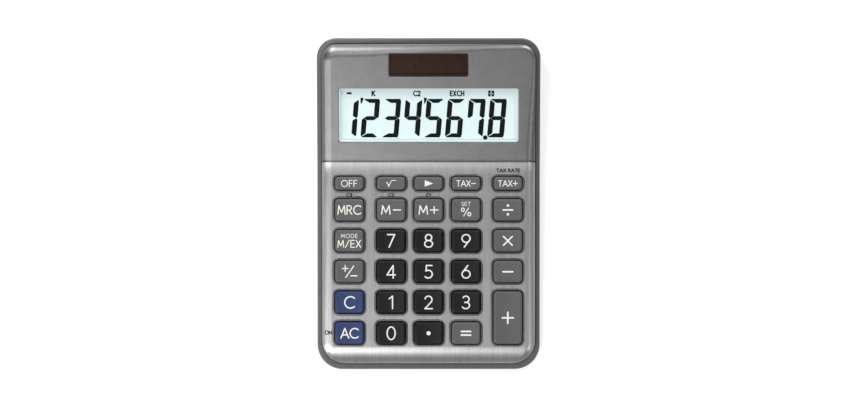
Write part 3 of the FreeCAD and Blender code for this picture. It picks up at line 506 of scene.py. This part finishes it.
# ---------------------------------------------------------------- key legends
ROOT_TICK = [(-2.1, 0.2), (-1.75, 0.4)]
ROOT_BAR = [(-1.05, -1.35), (0.0, 0.95), (0.3, 1.3), (0.7, 1.4), (2.1, 1.4)]
PERCENT_SLASH = bar(1.1, 0.85, -1.05, -2.8, 0.42)
PERCENT_RINGS = ribbon(arc(-1.45, 0.1, 0.66, 0.78, 0, 360), 0.46)
PERCENT_RINGS += ribbon(arc(1.5, -1.95, 0.66, 0.78, 0, 360), 0.46)
LEGENDS = {
    "off": words("OFF", 3.2, 0.36, 0, 0, 0.26, 1.04),
    "root": ribbon(ROOT_TICK, 0.3) + bar(-1.75, 0.4, -1.05, -1.35, 0.42) + ribbon(ROOT_BAR, 0.32),
    "correct": [[(-1.75, -1.45), (2.1, 0), (-1.75, 1.45)]],
    "tax_minus": words("TAX-", 2.95, 0.36, 0, 0, 0.17, 1.0),
    "tax_plus": words("TAX+", 2.95, 0.36, 0, 0, 0.17, 1.0),
    "mrc": words("MRC", 4.4, 0.5, 0, 0, 0.22, 1.0),
    "m_minus": words("M-", 4.4, 0.52, 0, 0, 0.38, 1.18),
    "m_plus": words("M+", 4.4, 0.52, 0, 0, 0.32, 1.18),
    "percent": words("SET", 1.9, 0.22, 0, 2.75, 0.3, 1.1) + PERCENT_SLASH + PERCENT_RINGS,
    "divide": bar(-2.15, 0, 2.15, 0, 0.7) + dot(0, 2.0, 0.58) + dot(0, -2.0, 0.58),
    "mode": words("MODE", 1.95, 0.22, 0, 2.25, 0.34, 1.1) + words("M/EX", 3.6, 0.42, 0, -1.35, 0.26, 1.0),
    "multiply": bar(-2.0, -2.0, 2.0, 2.0, 0.66) + bar(-2.0, 2.0, 2.0, -2.0, 0.66),
    "sign": bar(-3.2, 1.5, -0.55, 1.5, 0.5) + bar(-1.88, 0.18, -1.88, 2.85, 0.5)
    + bar(-1.6, -2.6, 2.0, 2.6, 0.5) + bar(0.75, -1.85, 3.5, -1.85, 0.55),
    "minus": bar(-2.2, 0, 2.2, 0, 0.75),
    "plus": bar(-2.5, 0, 2.5, 0, 0.78) + bar(0, -2.5, 0, 2.5, 0.78),
    "equals": bar(-2.1, 0.83, 2.1, 0.83, 0.78) + bar(-2.1, -0.83, 2.1, -0.83, 0.78),
    "point": dot(0, 0, 0.95),
    "c": words("C", 5.85, 0.62, 0, 0),
    "ac": words("AC", 5.0, 0.6, 0, 0, 0.14),
}
for digit in "0123456789":
    LEGENDS[digit] = words(digit, 6.35, 0.6, 0, 0)

for row, names in enumerate(KEY_NAMES):
    for column, label in enumerate(names):
        if label is None:
            continue
        v = keypad_v(ROWS[row])
        if label == "plus":
            v = (keypad_v(ROWS[4]) + keypad_v(ROWS[5])) / 2
        top = key_surface(COLUMNS[column], v)
        printed("legend_" + label, LEGENDS[label], top, "print_white", "key_" + label, 0.03)

# ---------------------------------------------------------------- small black print on the panel
memory_names = []
for x, label in zip(COLUMNS, ("C3", "C2", "C1")):
    memory_names += words(label, 1.65, 0.42, x, keypad_v(4.25), 0.3, 1.2)
on_name = words("ON", 2.1, 0.44, -45.9, keypad_v(-58.7), 0.26, 0.96)
tax_name = words("TAX RATE", 1.85, 0.42, 36.4, keypad_v(15.4), 0.22, 1.2)
printed("panel_print", memory_names + on_name, panel_surface, "print_black", "case", 0.012)
printed("tax_rate_print", tax_name, turn_surface, "print_black", "case", 0.012)

# ---------------------------------------------------------------- liquid crystal display
DIGIT_H = 17.9
DIGIT_W = 7.7
DIGIT_PITCH = 9.63
UPRIGHT = 2.3
LEVEL = 1.9
LEAN = math.tan(math.radians(4.6))
DIGITS_V = LCD_V - 1.65
SIGNS_V = LCD_V + 9.8
SEGMENTS = {"1": "bc", "2": "abged", "3": "abgcd", "4": "fgbc", "5": "afgcd", "6": "afgedc", "7": "fabc"}
SEGMENTS["8"] = "abcdefg"


def top_bar():
    w, h = DIGIT_W / 2, DIGIT_H / 2
    inner = h - LEVEL
    outer = [(0.75 - w, h), (w - 0.55, h), (w - 0.15, h - 0.3)]
    return outer + [(w - UPRIGHT + 0.1, inner), (UPRIGHT + 0.75 - w, inner), (0.45 - w, h - 0.35)]


def middle_bar():
    w, t = DIGIT_W / 2, LEVEL / 2
    end = w - UPRIGHT + 0.1
    return [(0.75 - w, 0), (-end, t), (end, t), (w - 0.75, 0), (end, -t), (-end, -t)]


def upper_right_bar():
    w, h = DIGIT_W / 2, DIGIT_H / 2
    inner = w - UPRIGHT
    outer = [(w - 0.35, h - 0.45), (w, h - 1.15), (w, 0.75), (w - 0.55, 0.09), (w - 0.8, 0.09)]
    return outer + [(inner, LEVEL / 2 + 0.15), (inner, h - LEVEL - 0.09)]


def flipped(bar_points, across, up):
    return [(x * across, y * up) for x, y in bar_points]


BARS = {
    "a": top_bar(),
    "b": upper_right_bar(),
    "c": flipped(upper_right_bar(), 1, -1),
    "d": flipped(top_bar(), 1, -1),
    "e": flipped(upper_right_bar(), -1, -1),
    "f": flipped(upper_right_bar(), -1, 1),
    "g": middle_bar(),
}


def digit_x(place):
    """Centre of a digit, counted from the left."""
    return DIGIT_PITCH * (place - 3.5) - 2.5


# outline of the mark between thousands, from the upper right corner of the digit before it
SEPARATOR = [(-0.35, 0.55), (1.05, 0.55), (0.95, -0.5), (0.1, -2.2), (-0.3, -2.2)]

ink = []
for place, digit in enumerate("12345678"):
    for bar_name in SEGMENTS[digit]:
        ink.append([(digit_x(place) + x + y * LEAN, DIGITS_V + y) for x, y in BARS[bar_name]])
for place in (0, 3):
    x = digit_x(place) + DIGIT_W / 2 + 0.95 + DIGIT_H / 2 * LEAN
    y = DIGITS_V + DIGIT_H / 2
    ink.append([(x + dx, y + dy) for dx, dy in SEPARATOR])
ink += dot(digit_x(6.5) - DIGIT_H / 2 * LEAN + 0.2, DIGITS_V - DIGIT_H / 2 - 0.05, 1.05)
ink += bar(-36.9, SIGNS_V + 0.1, -35.4, SIGNS_V + 0.1, 0.95)
ink += words("K", 2.75, 0.62, -25.1, SIGNS_V, 0.2, 0.95)
ink += words("C2", 2.75, 0.56, -5.3, SIGNS_V, 0.26, 0.78)
ink += words("EXCH", 2.75, 0.56, 13.0, SIGNS_V, 0.28, 0.74)


def rectangle(x0, y0, x1, y1):
    return [(x0, y0), (x1, y0), (x1, y1), (x0, y1)]


# dark strips of the boxed divide sign: left, bottom, right, top
BOX_STRIPS = [
    (-1.35, -1.35, -0.85, 1.35),
    (0.85, -1.35, 1.35, 1.35),
    (-0.85, 1.0, 0.85, 1.35),
    (-0.85, -1.35, 0.85, -1.0),
    (-0.85, 0.15, 0.85, 0.45),
    (-0.85, -0.45, 0.85, -0.15),
    (-0.85, 0.45, -0.27, 1.0),
    (0.27, 0.45, 0.85, 1.0),
    (-0.85, -1.0, -0.27, -0.45),
    (0.27, -1.0, 0.85, -0.45),
]


def boxed_divide(x, y):
    """A dark square with a light divide sign left open in it, as strips."""
    strips = []
    for x0, y0, x1, y1 in BOX_STRIPS:
        strips.append(rectangle(x + x0, y + y0, x + x1, y + y1))
    return strips


ink += boxed_divide(28.5, SIGNS_V)
printed("lcd_digits", ink, film_surface, "lcd_ink", "case", 0.02)

# ---------------------------------------------------------------- printed borders under the windows
LCD_W = 82.0
LCD_H = 25.2
SOLAR_W = 36.3
SOLAR_H = 10.75
SOLAR_V = 44.55
WINDOW_BOTTOM = -1.12
BORDER = 0.7
BORDER_GAP = 0.07
BORDER_CORNER = 0.6


def border(w, h, v):
    """Closed band just inside a rounded rectangle, centred on v."""
    x = (w - BORDER) / 2 - BORDER_GAP
    y = (h - BORDER) / 2 - BORDER_GAP
    r = BORDER_CORNER
    line = []
    for sx, sy, start in ((1, 1, 0), (-1, 1, 90), (-1, -1, 180), (1, -1, 270)):
        line += arc(sx * (x - r), v + sy * (y - r), r, r, start, start + 90, 4)
    return ribbon(line + line[:1], BORDER)


def window_underside(x, v):
    """Just above the underside of the windows."""
    return DISPLAY @ Vector((x, v, WINDOW_BOTTOM + 0.02)), DISPLAY.to_3x3() @ Vector((0, 0, 1))


lcd_band = border(LCD_W, LCD_H, LCD_V)
solar_band = border(SOLAR_W, SOLAR_H, SOLAR_V)
printed("lcd_border", lcd_band, window_underside, "polarizer", "case", 0.01)
printed("solar_border", solar_band, window_underside, "solar_cell", "case", 0.01)


# ---------------------------------------------------------------- floor and light
FLOOR_SIZE = 3.2
FLOOR_GLOW = 0.4
DOME = 0.28


def pale_floor():
    m, t, p = new_material("floor")
    p.inputs["Base Color"].default_value = (0.66, 0.66, 0.66, 1)
    p.inputs["Roughness"].default_value = 0.9
    p.inputs["Emission Color"].default_value = (1, 1, 1, 1)
    p.inputs["Emission Strength"].default_value = FLOOR_GLOW
    bm = bmesh.new()
    bmesh.ops.create_grid(bm, x_segments=8, y_segments=8, size=FLOOR_SIZE / 2)
    mesh = bpy.data.meshes.new("floor")
    bm.to_mesh(mesh)
    bm.free()
    mesh.materials.append(m)
    o = bpy.data.objects.new("floor", mesh)
    scene.collection.objects.link(o)
    return o


pale_floor()

scene.view_settings.view_transform = "Standard"
world = bpy.data.worlds.new("studio")
world.use_nodes = True
world.node_tree.nodes["Background"].inputs["Color"].default_value = (1, 1, 1, 1)
world.node_tree.nodes["Background"].inputs["Strength"].default_value = DOME
scene.world = world


LIGHT_AIM_HEIGHT = 0.01


def softbox(name, azimuth, tilt, distance, size, watts):
    """Square area light aimed just above the floor's centre. Azimuth 0 is +X, tilt is from the vertical."""
    light = bpy.data.lights.new(name, "AREA")
    light.shape = "SQUARE"
    light.size = size
    light.energy = watts
    a, b = math.radians(azimuth), math.radians(tilt)
    away = Vector((math.cos(a) * math.sin(b), math.sin(a) * math.sin(b), math.cos(b)))
    o = bpy.data.objects.new(name, light)
    o.location = away * distance + Vector((0, 0, LIGHT_AIM_HEIGHT))
    o.rotation_mode = "QUATERNION"
    o.rotation_quaternion = (-away).to_track_quat("-Z", "Y")
    scene.collection.objects.link(o)


# name: azimuth, tilt, distance, size, watts
SOFTBOXES = {
    "key": (240, 36, 0.75, 0.30, 2.25),
    "left": (210, 50, 0.75, 0.30, 0.73),
    "left_low": (210, 64, 0.75, 0.30, 1.5),
    "overhead": (120, 22, 0.75, 0.30, 0.8),
    "back": (60, 50, 0.75, 0.30, 3.3),
    "right": (330, 50, 0.75, 0.30, 0.6),
    "back_near": (112, 66, 0.27, 0.10, 0.35),
}
for name, setting in SOFTBOXES.items():
    softbox(name, *setting)

# ---------------------------------------------------------------- camera
CAMERA_DISTANCE = 1.7
CAMERA_TILT = math.radians(1.0)
FOCUS_PER_METRE = 91.5
camera_data = bpy.data.cameras.new("camera")
camera_data.sensor_width = 36.0
# the part keeps its size in the picture at any distance
camera_data.lens = FOCUS_PER_METRE * CAMERA_DISTANCE
camera_data.clip_start = 0.05
camera_data.clip_end = 20
camera = bpy.data.objects.new("camera", camera_data)
aim = Vector((0.00065, -0.0003, 0.013))
back = Vector((0, -math.sin(CAMERA_TILT), math.cos(CAMERA_TILT)))
camera.location = aim + back * CAMERA_DISTANCE
camera.rotation_mode = "QUATERNION"
camera.rotation_quaternion = (-back).to_track_quat("-Z", "Y")
scene.collection.objects.link(camera)
scene.camera = camera
